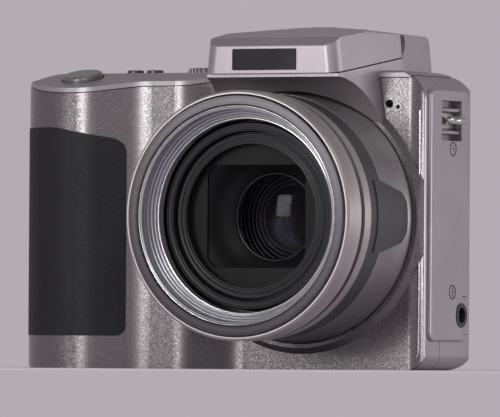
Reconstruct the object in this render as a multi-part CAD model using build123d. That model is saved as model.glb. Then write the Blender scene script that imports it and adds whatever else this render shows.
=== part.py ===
from build123d import *
import math
import os

# Bridge camera, in millimetres. The origin is the mouth of the tripod socket on the base plane, straight
# below the lens axis. +X is to the right of someone looking at the lens, +Y runs to the back, +Z is up.

# Body, seen from above: flat back, round grip on the left, a second swell beside the lens
body_left = -69.6
body_right = 29.5
body_front = -14.0
body_back = 14.0
body_top = 67.0
grip_front = -25.8
grip_crown_x = -49.0
valley_x = -38.0
swell_front = -20.2
swell_x = -27.0
swell_foot_x = -17.0
grip_round = 16.0
grip_back_round = 9.0
crown_round = 10.0
valley_round = 12.0
swell_round = 8.0
front_corner_round = 3.0
back_corner_round = 3.5

# Body, seen from the side and from the front
wall = 1.8
rear_edge_round = 8.6
slope_start = -12.0
slope_angle = 15.0
slope_round = 8.0
foot_left = -68.6
crown_left = -66.8
belly_low = 16.0
belly_high = 40.0
belly_round = 30.0
foot_left_round = 4.0
foot_right_round = 3.5
shoulder_round = 7.0
crown_left_round = 6.0

# Shell partings
seam = 0.2
front_parting = body_front + wall + seam
middle_parting = -4.0
cover_band = 1.0
roof_lift = 2.0
roof_depth = 3.0
rib_front = -9.4
rib_low = 60.6
rib_high = 62.4
overrun = 12.0
fit_gap = 0.3
slide_gap = 0.15
pin_gap = 0.04
hair = 0.01

# Hump over the lens: neck, flash head and finder
hump_front = -30.4
hump_front_half = 16.5
hump_rear_half = 20.5
hump_flare_y = -4.0
hump_front_round = 3.0
hump_flare_round = 20.0
hump_rear_round = 5.0
hump_foot_spread = 1.8
hump_crown_draft = 1.2
waist_drop = 1.0
hump_waist_height = body_top - waist_drop
crest_rise = 10.6
hump_top = body_top + crest_rise
face_rise = 5.2
face_top = body_top + face_rise
bevel_depth = 2.6
bevel_rise = 1.8
bevel_top = face_top + bevel_rise
crest_start_y = -2.0
crest_end_y = 6.0
hump_back_rise = 4.5
hump_back_top = body_top + hump_back_rise
floor_drop = 2.0
hump_floor = body_top - floor_drop
neck_drop = 11.5
neck_foot_height = hump_floor - neck_drop
neck_foot_y = -14.2
neck_lip = 1.2
lip_drop = 0.8
neck_lip_height = hump_waist_height - lip_drop
neck_sag = 2.6
hump_crown_fall = 2.6
hump_crown_half = 21.5
hump_crown_round = 60.0

# Flash head, hinged at the back of its lid
lid_rise = 3.2
lid_parting_rear = body_top + lid_rise
lid_back = -4.4
lid_gap = 0.3
flash_axis_y = -6.2
flash_axis_rise = 3.7
flash_axis_height = lid_parting_rear + flash_axis_rise
flash_pin_radius = 0.6
flash_pin_half = 13.5
flash_knuckle_radius = 2.6
flash_knuckle_inner = 7.0
flash_knuckle_outer = 12.0
flash_sweep_radius = 3.8
deck_wall = 1.2
flash_window_width = 24.0
flash_window_depth = 9.6
flash_window_thick = 1.0
flash_window_front = 3.4
reflector_height = 3.4
xenon_radius = 1.1
badge_width = 16.0
badge_height = 4.8
badge_thick = 0.35
badge_x = -1.5

# Lens, measured back from its front rim
lens_height = 34.0
lens_front = -47.0
front_ring_radius = 27.8
front_ring_inner = 24.2
front_ring_depth = 6.8
front_ring_bevel = 0.5
sleeve_wall = 0.8
spacer_depth = 2.3
spacer_step = 0.9
band_depth = 3.1
band_step = 0.3
badge_ring_depth = 6.5
badge_ring_step = 0.4
skirt_step = 0.35
skirt_flare = 0.7
tab_root_half = 8.0
tab_shoulder_half = 5.6
tab_tip_half = 3.3
tab_shoulder_reach = 9.6
tab_tip_reach = 11.2
thread_ring_inner = 21.55
thread_ring_depth = 4.4
thread_steps = 4
thread_length = 2.2
thread_radius = 23.6
collar_width = 2.2
collar_height = 1.3
collar_flat = 0.9
chassis_inner = 23.6
chassis_wall = 1.4
chassis_back = 2.0
chassis_flange_radius = 31.0
chassis_plate = 1.5
cam_ring_wall = 2.3
cam_ring_front = -36.0
cam_ring_back = -7.5
cam_slots = 3
cam_turn = 100.0
outer_travel = 13.0
follower_y = -13.2
follower_radius = 1.0
follower_gap = 0.12
follower_reach = 24.2
groove_reach = 24.4
outer_barrel_radius = 20.9
outer_barrel_wall = 2.0
outer_barrel_front = -40.4
outer_barrel_back = -9.0
inner_barrel_wall = 1.8
inner_barrel_front = -39.4
inner_barrel_back = -11.5
barrel_lip = 0.8
mask_depth = 2.6
mask_thick = 0.8
mask_width = 24.4
mask_height = 22.9
mask_round = 15.4
cone_back = -27.0
front_glass_radius = 10.0
front_glass_edge = 2.4
front_glass_bulge = 2.0
middle_glass_radius = 7.0
middle_glass_thick = 3.2
middle_glass_y = -18.0
focus_glass_radius = 6.5
focus_glass_thick = 3.0
focus_glass_y = -4.5
shutter_thick = 2.4
shutter_hole = 5.0
sensor_width = 7.2
sensor_height = 5.6
sensor_thick = 1.2
sensor_plate_size = 22.0
sensor_plate_thick = 1.2

# Rubber pad on the grip
pad_low = 7.4
pad_high = 54.4
pad_corner_height = 51.4
pad_right = -40.7
pad_break_x = -57.0
pad_corner_round = 3.4
pad_foot_round = 2.0
pad_thick = 1.1
pad_proud = 0.15

# Raised side plate
plate_front = -10.4
plate_back = 8.6
plate_low = 6.5
plate_high = 63.0
plate_round = 2.0
plate_proud = 0.8
plate_sunk = 0.7
plate_edge = 0.5
side_screw_y = 0.9
side_screw_heights = (49.7, 17.6)
lug_height = 56.0
lug_pocket_half = 4.5
lug_pocket_front = -5.0
lug_pocket_back = 5.2
lug_pocket_depth = 1.8
lug_pocket_wall = 0.8
lug_wire = 0.85
lug_reach = 4.0
lug_half = 3.0
lug_bend = 1.5
lug_foot = 0.9
left_lug_y = 1.2
left_lug_height = 52.0
jack_y = 7.2
jack_height = 12.4
jack_radius = 2.75
jack_bore = 1.75
jack_pin_radius = 0.6
jack_proud = 0.2
jack_length = 5.0
jack_pocket_radius = 4.4

# Small front parts
lamp_x = 21.6
lamp_height = 59.5
lamp_radius = 0.9
microphone_x = 23.8
microphone_height = 58.8
microphone_radius = 1.0
microphone_hole = 0.5
speck_length = 2.4

# Top controls
shutter_button_x = -54.4
shutter_button_y = -17.0
shutter_button_radius = 4.6
shutter_button_thick = 1.7
shutter_button_dome = 0.6
shutter_recess = 1.5
shutter_travel = 0.8
shutter_stem_radius = 1.4
shutter_stem_length = 5.0
shutter_boss = 3.0
top_button_y = -8.0
top_button_x = (-45.6, -40.6)
top_button_radius = 1.9
top_button_proud = 0.7
top_button_flange = 0.4
top_button_travel = 0.5
button_flange = 0.7
button_flange_thick = 0.8
dial_x = -29.5
dial_y = 4.3
dial_radius = 8.0
dial_recess = 1.0
dial_height = 2.2
dial_teeth = 40
dial_tooth = 0.35
dial_shaft_radius = 1.6
dial_shaft_length = 5.0

# Back of the camera
screen_half = 23.0
screen_low = 14.0
screen_high = 50.0
screen_round = 1.5
screen_thick = 1.2
screen_ledge = 1.0
module_half = 22.0
module_thick = 2.6
board_y = 7.8
board_thick = 1.2
board_left = -36.0
board_right = 24.0
board_low = 5.0
board_high = 57.0
finder_height = body_top
finder_half_width = 10.0
finder_half_height = 5.2
finder_round = 3.0
finder_front = 9.0
finder_back = 20.0
eyecup_back = 26.0
eyecup_spread = 1.0
eyecup_wall = 2.4
eye_lens_half_width = 6.6
eye_lens_half_height = 3.2
eye_lens_thick = 2.5
eye_tube_front = 1.2
finder_display_thick = 1.2
rocker_x = -52.0
rocker_height = 55.0
rocker_half = 7.0
rocker_half_height = 3.0
rocker_round = 2.7
rocker_proud = 1.4
rocker_depth = 3.6
stick_x = -38.0
stick_height = 37.0
stick_radius = 3.6
stick_proud = 3.0
stick_pivot_depth = 3.0
stick_stem = 1.3
gimbal_outer = 3.4
gimbal_wall = 0.9
gimbal_thick = 1.4
gimbal_pin = 0.4
gimbal_pin_length = 0.8
gimbal_boss_wall = 1.8
rocker_pin = 0.5
rocker_pin_length = 0.8
back_button_radius = 2.3
back_button_proud = 0.7
back_button_travel = 0.5
back_button_shift = 2.0
back_button_pitch = 12.0
back_button_x = rocker_x + back_button_shift
back_buttons = {
    "menu_button": (back_button_x, rocker_height - back_button_pitch),
    "review_button": (back_button_x, rocker_height - back_button_pitch * 2),
    "delete_button": (stick_x, stick_height - back_button_pitch),
    "share_button": (back_button_x, rocker_height - back_button_pitch * 3),
}

# Battery bay, base and card
cell_x = -54.5
cell_front_y = -13.4
cell_pitch = 15.6
cell_radius = 7.1
cell_length = 49.5
cell_nub_radius = 2.7
cell_nub = 1.0
cell_low = 3.0
bay_wall = 1.1
bay_low = 2.0
bay_top_wall = 1.6
door_margin = 1.3
door_thick = 1.4
door_hinge_x = -44.2
door_hinge_half = 8.0
door_pin_radius = 0.4
door_pin_spare = 2.0
latch_length = 5.0
latch_width = 6.0
latch_thick = 0.8
latch_travel = 1.5
latch_pocket_depth = 0.9
latch_grooves = 4
base_inset = 3.0
base_thick = 1.8
socket_bore = 2.6
socket_radius = 4.4
socket_length = 7.2
socket_depth = 6.0
socket_flange_radius = 6.4
socket_flange = 1.2
base_screws = ((-36.0, -15.0), (-16.0, 5.6), (22.0, -8.0), (22.0, 5.6))
screw_radius = 1.4
screw_thick = 0.8
screw_shank = 0.7
screw_length = 4.0
screw_slot = 0.45
screw_slot_length = 1.9
card_left = -45.0
card_width = 24.0
card_low = 3.0
card_length = 32.0
card_thick = 2.1
card_frame = 0.5
card_gap = 0.1
capacitor_radius = 3.4
capacitor_x = -31.0
capacitor_low = 38.0
capacitor_length = 20.0
capacitor_sunk = 0.3

lens_axis = Axis((0, 0, lens_height), (0, 1, 0))
slope = math.tan(math.radians(slope_angle))


def outline(points, radii):
    """A closed flat outline whose corners are rounded, each by its own radius."""
    sketch = Sketch() + make_face(Polyline(*points, close=True))
    for corner, radius in zip(points, radii):
        if radius:
            place = Vector(corner[0], corner[1], 0)
            vertex = min(sketch.vertices(), key=lambda v: (Vector(v) - place).length)
            sketch = fillet(vertex, radius)
    return sketch


def inset_by(sketch, amount):
    """The outline drawn in by an amount, or out by a negative one."""
    if not amount:
        return sketch
    return offset(sketch, -amount, kind=Kind.INTERSECTION)


def from_above(sketch, low, high):
    return extrude(Plane.XY.offset(low) * sketch, high - low)


def from_side(sketch, left, right):
    return extrude(Plane.YZ.offset(left) * sketch, right - left)


def from_front(sketch, front, back):
    facing = Plane(origin=(0, back, 0), x_dir=(1, 0, 0), z_dir=(0, -1, 0))
    return extrude(facing * sketch, back - front)


def block(left, right, front, back, low, high):
    middle = ((left + right) / 2, (front + back) / 2, (low + high) / 2)
    return Pos(*middle) * Box(right - left, back - front, high - low)


def rod(start, end, radius):
    """A round bar from one point to another."""
    run = Vector(*end) - Vector(*start)
    return extrude(Plane(origin=start, z_dir=run.normalized()) * Circle(radius), run.length)


def turned(points):
    """A ring or disc turned about the lens axis, from (radius, y) corners."""
    flat = Plane.XY.offset(lens_height) * make_face(Polyline(*points, close=True))
    return revolve(flat, lens_axis)


def ring(inner, outer, front, back):
    return turned([(inner, front), (outer, front), (outer, back), (inner, back)])


def disc(radius, front, back):
    return rod((0, front, lens_height), (0, back, lens_height), radius)


def body_plan(inset=0.0):
    points = [
        (body_left, body_back),
        (body_left, grip_front),
        (grip_crown_x, grip_front),
        (valley_x, swell_front),
        (swell_x, swell_front),
        (swell_foot_x, body_front),
        (body_right, body_front),
        (body_right, body_back),
    ]
    radii = [grip_back_round, grip_round, crown_round, valley_round, swell_round, swell_round,
             front_corner_round, back_corner_round]
    return inset_by(outline(points, radii), inset)


def body_side(inset=0.0):
    front = grip_front - overrun
    points = [
        (front, 0),
        (body_back, 0),
        (body_back, body_top),
        (slope_start, body_top),
        (front, body_top - (slope_start - front) * slope),
    ]
    return inset_by(outline(points, [0, rear_edge_round, rear_edge_round, slope_round, 0]), inset)


def body_face(inset=0.0):
    """The outline seen from the front, a hair outside the plan so that no two walls coincide."""
    points = [
        (foot_left - hair, -hair),
        (body_right + hair, -hair),
        (body_right + hair, body_top + hair),
        (crown_left - hair, body_top + hair),
        (body_left - hair, belly_high),
        (body_left - hair, belly_low),
    ]
    radii = [foot_left_round, foot_right_round, shoulder_round, crown_left_round, belly_round, belly_round]
    return inset_by(outline(points, radii), inset)


def body_block(inset=0.0):
    """The body without its hump, drawn in all round by the inset."""
    plan = from_above(body_plan(inset), -overrun, body_top + overrun)
    side = from_side(body_side(inset), body_left - overrun, body_right + overrun)
    face = from_front(body_face(inset), grip_front - overrun, body_back + overrun)
    return plan & side & face


def hump_plan(front_half, rear_half, front, inset=0.0):
    points = [
        (-front_half, front),
        (front_half, front),
        (rear_half, hump_flare_y),
        (rear_half, body_back),
        (-rear_half, body_back),
        (-rear_half, hump_flare_y),
    ]
    radii = [hump_front_round, hump_front_round, hump_flare_round, hump_rear_round, hump_rear_round,
             hump_flare_round]
    return inset_by(outline(points, radii), inset)


def lid_height(y):
    """Height of the flash head's parting line at a place along Y."""
    rise = (lid_parting_rear - hump_waist_height) / (lid_back - hump_front)
    return hump_waist_height + (y - hump_front) * rise


def hump_side(inset=0.0):
    lip_y = hump_front + neck_lip
    foot = Vector(neck_foot_y, neck_foot_height)
    lip = Vector(lip_y, neck_lip_height)
    rear_foot = body_top - rear_edge_round
    chord = lip - foot
    sag = Vector(chord.Y, -chord.X).normalized() * neck_sag
    neck = ThreePointArc(foot, (foot + lip) * 0.5 + sag, lip)
    upper = Polyline(
        lip,
        (lip_y, hump_waist_height),
        (hump_front, hump_waist_height),
        (hump_front, face_top),
        (hump_front + bevel_depth, bevel_top),
        (crest_start_y, hump_top),
        (crest_end_y, hump_top),
        (body_back, hump_back_top),
        (body_back, rear_foot),
        (body_back - rear_edge_round, rear_foot),
        (body_back - rear_edge_round, hump_floor),
        (front_parting, hump_floor),
        (front_parting, neck_foot_height),
        foot,
    )
    sketch = Sketch() + make_face([neck] + list(upper.edges()))
    corners = {
        (hump_front, face_top): plate_edge,
        (hump_front + bevel_depth, bevel_top): hump_front_round,
        (crest_start_y, hump_top): hump_flare_round,
        (crest_end_y, hump_top): valley_round,
        (body_back, hump_back_top): hump_rear_round,
    }
    for corner, radius in corners.items():
        place = Vector(corner[0], corner[1], 0)
        vertex = min(sketch.vertices(), key=lambda v: (Vector(v) - place).length)
        sketch = fillet(vertex, radius)
    return inset_by(sketch, inset)


def hump_block(inset=0.0):
    """The hump and its neck, drawn in all round by the inset."""
    spread = hump_foot_spread
    draft = hump_crown_draft
    low = Plane.XY.offset(neck_foot_height) * hump_plan(
        hump_front_half + spread, hump_rear_half + spread, hump_front, inset)
    middle = Plane.XY.offset(hump_waist_height) * hump_plan(hump_front_half, hump_rear_half, hump_front, inset)
    high = Plane.XY.offset(hump_top) * hump_plan(
        hump_front_half - draft, hump_rear_half - draft, hump_front, inset)
    tower = loft([low.faces()[0], middle.faces()[0], high.faces()[0]], ruled=True)
    side = from_side(hump_side(inset), body_left, body_right + overrun)
    half = hump_crown_half + overrun
    fall = hump_crown_fall * half / hump_crown_half
    crown_points = [(-half, 0), (half, 0), (half, hump_top - fall), (0, hump_top), (-half, hump_top - fall)]
    crown = outline(crown_points, [0, 0, 0, hump_crown_round, 0])
    top = from_front(inset_by(crown, inset), hump_front - overrun, body_back + overrun)
    return tower & side & top


def above_cover_line(shift=0.0):
    """Everything above the parting between the top cover and the shells."""
    front = hump_front - overrun
    level = body_top - cover_band + shift
    points = [
        (front, level - (slope_start - front) * slope),
        (slope_start, level),
        (body_back + overrun, level),
        (body_back + overrun, hump_top + overrun),
        (front, hump_top + overrun),
    ]
    return from_side(make_face(Polyline(*points, close=True)), body_left - overrun, body_right + overrun)


def above_lid_line(shift, back):
    """Everything above the flash head's parting line and in front of its rear edge."""
    front = hump_front - overrun
    points = [
        (front, lid_height(hump_front) + shift),
        (hump_front, lid_height(hump_front) + shift),
        (back, lid_height(back) + shift),
        (back, hump_top + overrun),
        (front, hump_top + overrun),
    ]
    return from_side(make_face(Polyline(*points, close=True)), body_left, body_right + overrun)


def slab(front, back):
    """Everything between two places along Y."""
    return block(body_left - overrun, body_right + overrun, front, back, -overrun, hump_top + overrun)


outer_body = body_block()
inner_body = body_block(wall)
inner_room = body_block(wall + slide_gap)
outer_hump = hump_block()
inner_hump = hump_block(wall)
skirt_base_radius = front_ring_radius + skirt_flare - skirt_step
lens_hole_radius = skirt_base_radius + slide_gap
lens_space = disc(lens_hole_radius, lens_front - overrun, front_parting + wall)
body_shell = outer_body - inner_body
cover_room = above_cover_line(-seam) + hump_block(-seam)
slope_plane = Plane(
    origin=(shutter_button_x, shutter_button_y, body_top + (shutter_button_y - slope_start) * slope),
    x_dir=(1, 0, 0),
    z_dir=(0, -math.sin(math.radians(slope_angle)), math.cos(math.radians(slope_angle))),
)


def pad_window(grow=0.0):
    left = body_left - overrun
    points = [
        (left, pad_low),
        (pad_right, pad_low),
        (pad_right, pad_corner_height),
        (pad_break_x, pad_high),
        (left, pad_high),
    ]
    radii = [0, pad_foot_round, pad_corner_round, grip_round, 0]
    face = inset_by(outline(points, radii), -grow)
    return from_front(face, grip_front - overrun, front_parting)


def base_region(grow=0.0):
    return from_above(body_plan(base_inset - grow), -overrun, base_thick + grow) & outer_body


def side_plate_region(grow=0.0):
    points = [
        (plate_front, plate_low),
        (plate_back, plate_low),
        (plate_back, plate_high),
        (plate_front, plate_high),
    ]
    face = inset_by(outline(points, [plate_round] * 4), -grow)
    return from_side(face, body_right - plate_sunk - grow, body_right + plate_proud)


def lug_pocket(grow=0.0):
    floor = body_right - lug_pocket_depth - grow
    low = lug_height - lug_pocket_half - grow
    high = lug_height + lug_pocket_half + grow
    front = lug_pocket_front - grow
    back = lug_pocket_back + grow
    return block(floor, body_right + plate_proud + overrun, front, back, low, high)


def cell_places():
    return [(cell_x, cell_front_y), (cell_x, cell_front_y + cell_pitch)]


def slot_plan(radius):
    """The outline round both battery cells."""
    middle = cell_front_y + cell_pitch / 2
    return Pos(cell_x, middle) * Rot(0, 0, 90) * SlotCenterToCenter(cell_pitch, radius * 2)


def finder_outline(half_width, half_height, corner):
    return Pos(0, finder_height) * RectangleRounded(half_width * 2, half_height * 2, corner)


def screen_outline(grow):
    middle = (screen_low + screen_high) / 2
    return Pos(0, middle) * RectangleRounded(
        (screen_half + grow) * 2, screen_high - screen_low + grow * 2, screen_round + grow)


def back_hole(x, height, radius):
    return rod((x, body_back - wall - overrun / 2, height), (x, body_back + overrun, height), radius)


def front_shell():
    shell = body_shell & slab(grip_front - overrun, front_parting - seam / 2)
    collar = turned([
        (lens_hole_radius, body_front + wall),
        (lens_hole_radius, body_front - collar_height),
        (lens_hole_radius + collar_flat, body_front - collar_height),
        (lens_hole_radius + collar_width, body_front),
        (lens_hole_radius + collar_width, body_front + wall),
    ])
    shell = shell + (collar & slab(grip_front - overrun, front_parting - seam / 2) & outer_reach())
    shell = shell - lens_space - cover_room - roof_room(inner_body) - base_region(seam)
    shell = shell - (pad_window(pin_gap) - body_block(pad_thick + pin_gap))
    shell = shell - rod((lamp_x, grip_front, lamp_height), (lamp_x, 0, lamp_height), lamp_radius + pin_gap)
    spot = microphone_radius + pin_gap
    return shell - rod((microphone_x, grip_front, microphone_height), (microphone_x, 0, microphone_height), spot)


def roof_room(room):
    """The room inside the body's walls, which the cover's roof fills at the top."""
    return Pos(0, 0, roof_lift) * room & above_cover_line(cover_band - roof_depth)


def outer_reach():
    """The room inside the body's outline, carried forward as far as the lens collar."""
    face = from_front(body_face(), grip_front - overrun, body_back)
    return face & above_base()


def above_base():
    return block(body_left, body_right, grip_front - overrun, body_back, 0, hump_top)


def middle_shell():
    shell = body_shell & slab(front_parting + seam / 2, middle_parting - seam / 2)
    rib = block(body_left, body_right, rib_front, middle_parting - seam / 2, rib_low, rib_high)
    shell = shell - cover_room - roof_room(inner_body) - base_region(seam) + (rib & outer_body)
    return shell - side_plate_region(pin_gap) - lug_pocket(lug_pocket_wall + pin_gap)


def rear_shell():
    shell = body_shell & slab(middle_parting + seam / 2, body_back + overrun)
    shell = shell - cover_room - roof_room(inner_body) - base_region(seam)
    pivot = Vector(*stick_pivot())
    inside = Vector(stick_x, body_back - wall / 2, stick_height)
    boss_front = pivot - Vector(0, gimbal_thick, 0)
    shell = shell + rod(boss_front, inside, gimbal_outer + slide_gap + gimbal_boss_wall)
    shell = shell - rod(boss_front, inside, gimbal_outer + slide_gap) - gimbal_pins(pin_gap)
    shell = shell - rocker_pins(pin_gap)
    for face in side_screw_faces():
        shell = shell - screw(face, pin_gap)
    shell = shell - side_plate_region(pin_gap) - lug_pocket(lug_pocket_wall + pin_gap)
    shell = shell - from_front(screen_outline(pin_gap), body_back - screen_thick - pin_gap, body_back + overrun)
    shell = shell - from_front(screen_outline(-screen_ledge), body_back - wall - overrun, body_back + overrun)
    finder = finder_outline(finder_half_width + pin_gap, finder_half_height + pin_gap, finder_round)
    shell = shell - from_front(finder, 0, body_back + overrun)
    for x, height in back_buttons.values():
        shell = shell - back_hole(x, height, back_button_radius + slide_gap)
    shell = shell - back_hole(stick_x, stick_height, stick_radius + gimbal_wall)
    rocker = Pos(rocker_x, rocker_height) * RectangleRounded(
        (rocker_half + fit_gap) * 2, (rocker_half_height + fit_gap) * 2, rocker_half_height)
    shell = shell - from_front(rocker, body_back - wall - overrun / 2, body_back + overrun)
    jack = rod((body_right - jack_length * 2, jack_y, jack_height), (body_right + overrun, jack_y, jack_height),
               jack_radius + pin_gap)
    return shell - jack - left_lug_seat()


def top_cover():
    roof = body_shell & (above_cover_line() + roof_room(inner_room))
    hump = outer_hump - inner_hump
    cover = roof + hump
    cover = cover - above_lid_line(-lid_gap, lid_back + lid_gap)
    bulkhead_front = flash_axis_y + flash_sweep_radius
    deck_room = above_lid_line(-lid_gap - deck_wall, bulkhead_front + wall / 2)
    deck = outer_hump & (deck_room - above_lid_line(-lid_gap, overrun))
    bulkhead = outer_hump & slab(bulkhead_front, bulkhead_front + wall)
    cover = cover + deck + bulkhead
    sweep_half = hump_rear_half + overrun
    sweep_room = rod((-sweep_half, flash_axis_y, flash_axis_height),
                     (sweep_half, flash_axis_y, flash_axis_height), flash_sweep_radius)
    cover = cover - (sweep_room & above_lid_line(-lid_gap, overrun))
    for side in (-1, 1):
        near = side * flash_knuckle_inner
        far = side * flash_knuckle_outer
        start = (near, flash_axis_y, flash_axis_height)
        knuckle = rod(start, (far, flash_axis_y, flash_axis_height), flash_knuckle_radius)
        web = block(min(near, far), max(near, far), flash_axis_y, bulkhead_front + wall / 2,
                    flash_axis_height - flash_knuckle_radius / 2, flash_axis_height + flash_knuckle_radius / 2)
        cover = cover + knuckle + web
    cover = cover - flash_pin(pin_gap / 2) - lens_space
    finder = finder_outline(finder_half_width + pin_gap, finder_half_height + pin_gap, finder_round)
    cover = cover - from_front(finder, finder_front - slide_gap, body_back + overrun)
    light_box = finder_outline(eye_lens_half_width + slide_gap, eye_lens_half_height, plate_edge)
    cover = cover - from_front(light_box, bulkhead_front + wall, finder_front)
    boss = extrude(slope_plane.offset(-shutter_recess - shutter_boss) * Circle(shutter_button_radius + wall),
                   shutter_recess + shutter_boss - wall / 2)
    cover = cover + (boss & outer_body)
    recess = extrude(slope_plane.offset(-shutter_recess) * Circle(shutter_button_radius + fit_gap), overrun)
    bore = extrude(slope_plane.offset(-overrun) * Circle(shutter_stem_radius + slide_gap), overrun)
    cover = cover - recess - bore
    for x in top_button_x:
        cover = cover - rod((x, top_button_y, body_top - wall * 2), (x, top_button_y, body_top + overrun),
                            top_button_radius + slide_gap)
    cover = cover - rod((dial_x, dial_y, body_top - dial_recess), (dial_x, dial_y, body_top + overrun),
                        dial_radius + fit_gap)
    return cover - rod((dial_x, dial_y, body_top - overrun), (dial_x, dial_y, body_top), dial_shaft_radius + pin_gap)


def base_plate():
    plate = base_region() - from_above(door_plan(slide_gap), -overrun, base_thick * 2)
    plate = plate - rod((0, 0, -overrun), (0, 0, base_thick * 2), socket_radius + pin_gap)
    for face in base_screw_faces():
        plate = plate - screw(face, pin_gap)
    return plate - door_pin(pin_gap)


def base_screw_faces():
    return [Plane(origin=(x, y, 0), z_dir=(0, 0, -1)) for x, y in base_screws]


def side_screw_faces():
    x = body_right + plate_proud
    return [Plane(origin=(x, side_screw_y, height), z_dir=(1, 0, 0)) for height in side_screw_heights]


def screw(face, grow=0.0):
    """A countersunk screw whose head is level with the face and whose shank runs below it."""
    head = loft([
        (face.offset(grow) * Circle(screw_radius + grow)).faces()[0],
        (face.offset(-screw_thick - grow) * Circle(screw_shank + grow)).faces()[0],
    ])
    return head + extrude(face.offset(-screw_length) * Circle(screw_shank + grow), screw_length)


def cross_slot(face):
    """The cross-shaped driver slot of a screw."""
    bar = Box(screw_slot_length, screw_slot, screw_thick)
    return face * (bar + Rot(0, 0, 90) * bar)


def case_screws():
    faces = base_screw_faces() + side_screw_faces()
    return Compound(children=[screw(face) - cross_slot(face) for face in faces])


def side_plate():
    plate = side_plate_region()
    outer_edges = plate.faces().sort_by(Axis.X)[-1].edges()
    plate = fillet(outer_edges, plate_edge)
    pocket = lug_pocket(lug_pocket_wall) & block(0, body_right, -overrun, overrun, 0, hump_top)
    plate = plate + pocket - lug_pocket()
    for face in side_screw_faces():
        plate = plate - screw(face, pin_gap)
    socket = rod((body_right - overrun, jack_y, jack_height), (body_right + overrun, jack_y, jack_height),
                 jack_radius + pin_gap)
    dish = rod((body_right, jack_y, jack_height), (body_right + overrun, jack_y, jack_height), jack_pocket_radius)
    return plate - socket - dish


def left_lug_root():
    """The bottom of the left strap lug's seat in the leaning wall of the grip."""
    lean = (left_lug_height - belly_high) / (body_top - belly_high)
    return body_left + lean * (crown_left - body_left) + lug_foot


def lug_margin():
    return lug_wire + lug_pocket_wall


def left_lug_seat():
    return block(body_left - overrun, left_lug_root() + pin_gap,
                 left_lug_y - lug_half - lug_margin(), left_lug_y + lug_half + lug_margin(),
                 left_lug_height - lug_margin() - pin_gap, left_lug_height + lug_margin() + pin_gap)


def strap_lug(right):
    """A bent wire loop on a small foot; the right one sits in its pocket, the left one in the grip's wall."""
    if right:
        root = Vector(body_right - lug_pocket_depth, (lug_pocket_front + lug_pocket_back) / 2, lug_height)
        way = 1
    else:
        root = Vector(left_lug_root(), left_lug_y, left_lug_height)
        way = -1
    tip = root + Vector(way * (lug_foot + lug_reach), 0, 0)
    reach = Vector(0, lug_half, 0)
    path = FilletPolyline(root - reach, tip - reach, tip + reach, root + reach, radius=lug_bend)
    start = Plane(origin=path @ 0, z_dir=path % 0)
    loop = sweep(start * Circle(lug_wire), path=path)
    foot = block(min(root.X, root.X + way * lug_foot), max(root.X, root.X + way * lug_foot),
                 root.Y - lug_half - lug_margin() + pin_gap, root.Y + lug_half + lug_margin() - pin_gap,
                 root.Z - lug_margin(), root.Z + lug_margin())
    return loop + foot


def dc_jack():
    face = body_right + jack_proud
    sleeve = rod((face - jack_length, jack_y, jack_height), (face, jack_y, jack_height), jack_radius)
    hole = rod((face - jack_length + wall / 2, jack_y, jack_height), (face, jack_y, jack_height), jack_bore)
    centre_pin = rod((face - jack_length, jack_y, jack_height), (face - wall / 2, jack_y, jack_height),
                     jack_pin_radius)
    return sleeve - hole + centre_pin


def grip_pad():
    skin = body_block(-pad_proud) - body_block(pad_thick)
    return skin & pad_window() & slab(grip_front - overrun, front_parting - seam / 2)


def self_timer_lamp():
    return rod((lamp_x, body_front - slide_gap, lamp_height), (lamp_x, body_front + speck_length, lamp_height),
               lamp_radius)


def microphone():
    collar = rod((microphone_x, body_front - slide_gap, microphone_height),
                 (microphone_x, body_front + speck_length, microphone_height), microphone_radius)
    return collar - rod((microphone_x, body_front - slide_gap, microphone_height),
                        (microphone_x, body_front + speck_length / 2, microphone_height), microphone_hole)


ring_front = lens_front
sleeve_back = ring_front + front_ring_depth
band_front = sleeve_back + spacer_depth
badge_front = band_front + band_depth
skirt_front = badge_front + badge_ring_depth
sleeve_front = ring_front + front_ring_bevel
ring_bore = chassis_inner + chassis_wall + slide_gap
tab_bore = (ring_bore + front_ring_radius) / 2


def front_ring():
    core = front_ring_radius - sleeve_wall
    return turned([
        (front_ring_inner, ring_front + front_ring_bevel),
        (front_ring_inner + front_ring_bevel, ring_front),
        (core - front_ring_bevel, ring_front),
        (core, ring_front + front_ring_bevel),
        (core, sleeve_back),
        (front_ring_inner, sleeve_back),
    ])


def ring_sleeve():
    core = front_ring_radius - sleeve_wall
    return turned([
        (core, sleeve_front),
        (front_ring_radius - front_ring_bevel, sleeve_front),
        (front_ring_radius, sleeve_front + front_ring_bevel),
        (front_ring_radius, sleeve_back),
        (core, sleeve_back),
    ])


def thread_ring():
    """The filter ring: a threaded bore, then a stepped funnel down to the clear mouth."""
    start = ring_front + front_ring_bevel
    step_depth = (thread_ring_depth - thread_length) / thread_steps
    step_width = (thread_radius - thread_ring_inner) / thread_steps
    points = [(front_ring_inner, start), (front_ring_inner, sleeve_back), (thread_ring_inner, sleeve_back)]
    for index in range(thread_steps):
        radius = thread_ring_inner + index * step_width
        y = start + thread_ring_depth - index * step_depth
        points.append((radius, y))
        points.append((radius + step_width, y))
    return turned(points + [(thread_radius, start)])


def spacer_ring():
    """The black step between the front ring and the thin band, moulded on the chassis."""
    return ring(chassis_inner, front_ring_radius - spacer_step, sleeve_back, band_front)


def barrel_band():
    return ring(ring_bore, front_ring_radius - band_step, band_front, badge_front)


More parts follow.
